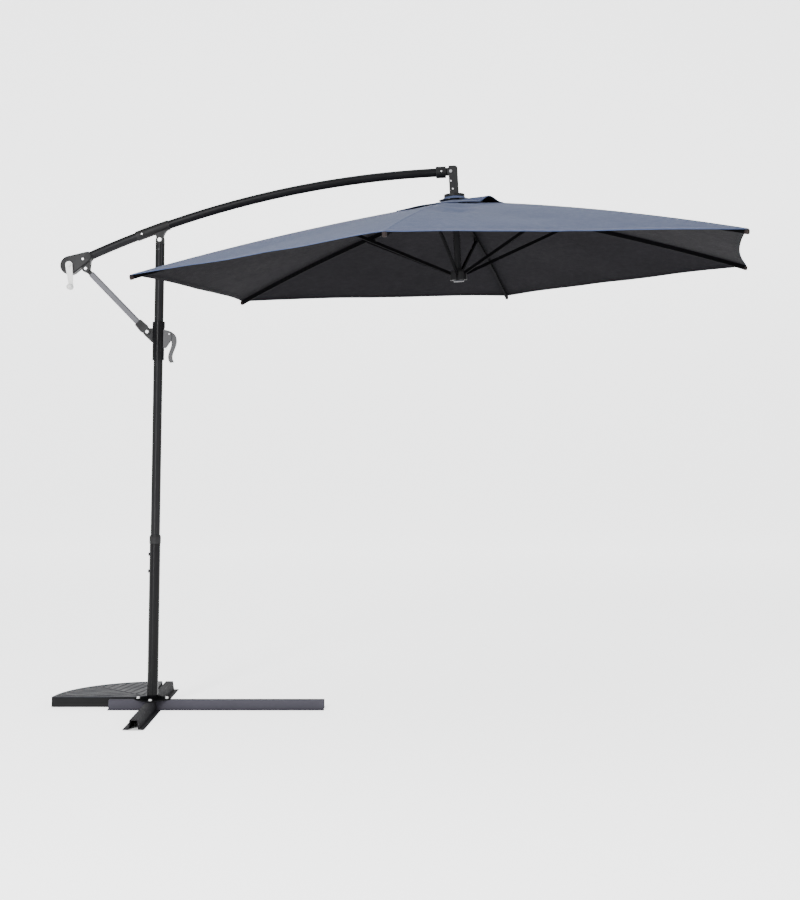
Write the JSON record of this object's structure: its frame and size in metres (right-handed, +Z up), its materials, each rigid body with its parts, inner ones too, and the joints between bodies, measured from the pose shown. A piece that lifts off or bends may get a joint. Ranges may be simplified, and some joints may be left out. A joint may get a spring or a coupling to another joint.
{
  "type": "cantilever parasol",
  "caption": "Cantilever garden parasol: mast on a cross base, curved boom with a hand crank, sliding collar and strut, and a vented canopy on folding ribs that hangs from the boom's end.",
  "frame": {"origin": "on the mast's axis at floor level, in the plane of the base bars' undersides", "axes": "+X along the boom, towards the canopy; +Y away from the viewer who sees the crank in front; +Z up"},
  "size_m": [3.2622, 2.9296, 2.4519],
  "materials": {
    "frame_black": "satin",
    "plastic_black": "matte",
    "plastic_grey": "matte",
    "strut_grey": "satin",
    "lever_grey": "satin",
    "crank_silver": "satin",
    "steel": "satin",
    "bolt_bright": "satin",
    "bolt_black": "satin",
    "slab_dark": "matte",
    "canopy_cloth": "matte",
    "cord_grey": "matte"
  },
  "bodies": {
    "base": {"base_bar_long": "frame_black", "base_leg_near": "frame_black", "base_leg_far": "frame_black", "base_slab": "slab_dark", "mast_lower": "frame_black", "flange_bolts": "bolt_bright", "mast_joint_collar": "plastic_black", "mast_screws": "bolt_black", "mast_upper": "frame_black", "mast_head": "plastic_black"},
    "collar": {"slide_collar": "plastic_black", "lever_bracket": "lever_grey", "clamp_shoe": "plastic_black", "lever_pin": "steel"},
    "lever": {"clamp_lever": "lever_grey"},
    "boom": {"boom_tube": "frame_black", "boom_saddle": "plastic_black", "boom_screws": "bolt_bright", "pivot_bolt": "bolt_bright", "housing_front": "plastic_black", "housing_back": "plastic_black", "housing_screws": "bolt_bright", "strut_pin_upper": "steel", "elbow_socket": "plastic_black", "hoist_cord": "cord_grey"},
    "strut": {"strut_tube": "strut_grey", "strut_fork": "plastic_black", "strut_eye": "plastic_black", "strut_pin_lower": "steel"},
    "crank": {"crank_arm": "crank_silver", "crank_shaft": "steel", "cord_drum": "plastic_grey"},
    "knob": {"crank_knob": "plastic_grey"},
    "pulley": {"elbow_pulley": "plastic_grey"},
    "hanger": {"elbow_fork": "plastic_black", "elbow_pin": "steel", "fork_screws": "bolt_bright", "hanger_pole": "frame_black", "cap_plate": "plastic_black", "crown_hub": "plastic_black", "hoist_drop": "cord_grey"},
    "hub": {"lower_hub": "plastic_black"},
    "rib_1": {"rib_1": "frame_black", "canopy_1": "canopy_cloth"},
    "stretcher_1": {"stretcher_1": "frame_black"},
    "rib_2": {"rib_2": "frame_black", "canopy_2": "canopy_cloth"},
    "stretcher_2": {"stretcher_2": "frame_black"},
    "rib_3": {"rib_3": "frame_black", "canopy_3": "canopy_cloth"},
    "stretcher_3": {"stretcher_3": "frame_black"},
    "rib_4": {"rib_4": "frame_black", "canopy_4": "canopy_cloth"},
    "stretcher_4": {"stretcher_4": "frame_black"},
    "rib_5": {"rib_5": "frame_black", "canopy_5": "canopy_cloth"},
    "stretcher_5": {"stretcher_5": "frame_black"},
    "rib_6": {"rib_6": "frame_black", "canopy_6": "canopy_cloth"},
    "stretcher_6": {"stretcher_6": "frame_black"}
  },
  "joints": [
    {"name": "boom_tilt", "type": "hinge", "parent": "base", "child": "boom", "pos_m": [0, 0, 2.107], "axis": [0, 1, 0], "range_deg": [0, 20]},
    {"name": "collar_slide", "type": "slide", "parent": "base", "child": "collar", "axis": [0, 0, 1], "range_m": [0, 0.151]},
    {"name": "clamp_lever", "type": "hinge", "parent": "collar", "child": "lever", "pos_m": [0.05, 0, 1.672], "axis": [0, -1, 0], "range_deg": [0, 75]},
    {"name": "strut_swing", "type": "hinge", "parent": "boom", "child": "strut", "pos_m": [-0.337, 0, 1.973], "axis": [0, 1, 0], "range_deg": [-25.34, 0]},
    {"name": "hanger_swing", "type": "hinge", "parent": "boom", "child": "hanger", "pos_m": [1.338, 0, 2.425], "axis": [0, 1, 0], "range_deg": [-20, 0], "deforming": ["hoist_cord"]},
    {"name": "hub_slide", "type": "slide", "parent": "hanger", "child": "hub", "axis": [0.0489, 0, -0.9988], "range_m": [0, 0.7488], "deforming": ["hoist_drop"]},
    {"name": "crank_turn", "type": "hinge", "parent": "boom", "child": "crank", "pos_m": [-0.41, 0, 1.988], "axis": [0, 1, 0], "range_deg": [0, 1950.2]},
    {"name": "crank_knob", "type": "hinge", "parent": "crank", "child": "knob", "pos_m": [-0.3972, 0, 1.88378], "axis": [0, 1, 0], "continuous": true},
    {"name": "pulley_turn", "type": "hinge", "parent": "boom", "child": "pulley", "pos_m": [1.338, 0, 2.425], "axis": [0, 1, 0], "range_deg": [0, 3574.9]},
    {"name": "rib_1_fold", "type": "hinge", "parent": "hanger", "child": "rib_1", "pos_m": [1.3882, 0.00957, 2.26927], "axis": [-0.2987, 0.9542, -0.0146], "range_deg": [0, 72.96], "deforming": ["canopy_1"]},
    {"name": "stretcher_1_fold", "type": "hinge", "parent": "rib_1", "child": "stretcher_1", "pos_m": [1.87821, 0.16165, 2.18461], "axis": [-0.2987, 0.9542, -0.0146], "range_deg": [-135.64, 0]},
    {"name": "rib_2_fold", "type": "hinge", "parent": "hanger", "child": "rib_2", "pos_m": [1.36468, 0.03123, 2.26812], "axis": [-0.9748, 0.2181, -0.0477], "range_deg": [0, 72.96], "deforming": ["canopy_2"]},
    {"name": "stretcher_2_fold", "type": "hinge", "parent": "rib_2", "child": "stretcher_2", "pos_m": [1.48078, 0.52754, 2.16518], "axis": [-0.9748, 0.2181, -0.0477], "range_deg": [-135.64, 0]},
    {"name": "rib_3_fold", "type": "hinge", "parent": "hanger", "child": "rib_3", "pos_m": [1.33418, 0.02166, 2.26662], "axis": [-0.6761, -0.7361, -0.0331], "range_deg": [0, 72.96], "deforming": ["canopy_3"]},
    {"name": "stretcher_3_fold", "type": "hinge", "parent": "rib_3", "child": "stretcher_3", "pos_m": [0.96558, 0.36589, 2.13998], "axis": [-0.6761, -0.7361, -0.0331], "range_deg": [-135.64, 0]},
    {"name": "rib_4_fold", "type": "hinge", "parent": "hanger", "child": "rib_4", "pos_m": [1.3272, -0.00957, 2.26628], "axis": [0.2987, -0.9542, 0.0146], "range_deg": [0, 72.96], "deforming": ["canopy_4"]},
    {"name": "stretcher_4_fold", "type": "hinge", "parent": "rib_4", "child": "stretcher_4", "pos_m": [0.8478, -0.16165, 2.13422], "axis": [0.2987, -0.9542, 0.0146], "range_deg": [-135.64, 0]},
    {"name": "rib_5_fold", "type": "hinge", "parent": "hanger", "child": "rib_5", "pos_m": [1.35073, -0.03123, 2.26743], "axis": [0.9748, -0.2181, 0.0477], "range_deg": [0, 72.96], "deforming": ["canopy_5"]},
    {"name": "stretcher_5_fold", "type": "hinge", "parent": "rib_5", "child": "stretcher_5", "pos_m": [1.24523, -0.52754, 2.15366], "axis": [0.9748, -0.2181, 0.0477], "range_deg": [-135.64, 0]},
    {"name": "rib_6_fold", "type": "hinge", "parent": "hanger", "child": "rib_6", "pos_m": [1.38123, -0.02166, 2.26892], "axis": [0.6761, 0.7361, 0.0331], "range_deg": [0, 72.96], "deforming": ["canopy_6"]},
    {"name": "stretcher_6_fold", "type": "hinge", "parent": "rib_6", "child": "stretcher_6", "pos_m": [1.76043, -0.36589, 2.17885], "axis": [0.6761, 0.7361, 0.0331], "range_deg": [-135.64, 0]}
  ],
  "couplings": [
    {"joint": "collar_slide", "follows": "boom_tilt", "m_per_rad": 0.43211},
    {"joint": "strut_swing", "follows": "boom_tilt", "ratio": -1.2643},
    {"joint": "hanger_swing", "follows": "boom_tilt", "ratio": -1},
    {"joint": "hub_slide", "follows": "rib_1_fold", "m_per_rad": 0.58791},
    {"joint": "crank_turn", "follows": "rib_1_fold", "ratio": 26.723},
    {"joint": "pulley_turn", "follows": "rib_1_fold", "ratio": 48.992},
    {"joint": "stretcher_1_fold", "follows": "rib_1_fold", "ratio": -1.8578},
    {"joint": "rib_2_fold", "follows": "rib_1_fold", "ratio": 1},
    {"joint": "stretcher_2_fold", "follows": "rib_1_fold", "ratio": -1.8578},
    {"joint": "rib_3_fold", "follows": "rib_1_fold", "ratio": 1},
    {"joint": "stretcher_3_fold", "follows": "rib_1_fold", "ratio": -1.8578},
    {"joint": "rib_4_fold", "follows": "rib_1_fold", "ratio": 1},
    {"joint": "stretcher_4_fold", "follows": "rib_1_fold", "ratio": -1.8578},
    {"joint": "rib_5_fold", "follows": "rib_1_fold", "ratio": 1},
    {"joint": "stretcher_5_fold", "follows": "rib_1_fold", "ratio": -1.8578},
    {"joint": "rib_6_fold", "follows": "rib_1_fold", "ratio": 1},
    {"joint": "stretcher_6_fold", "follows": "rib_1_fold", "ratio": -1.8578}
  ]
}
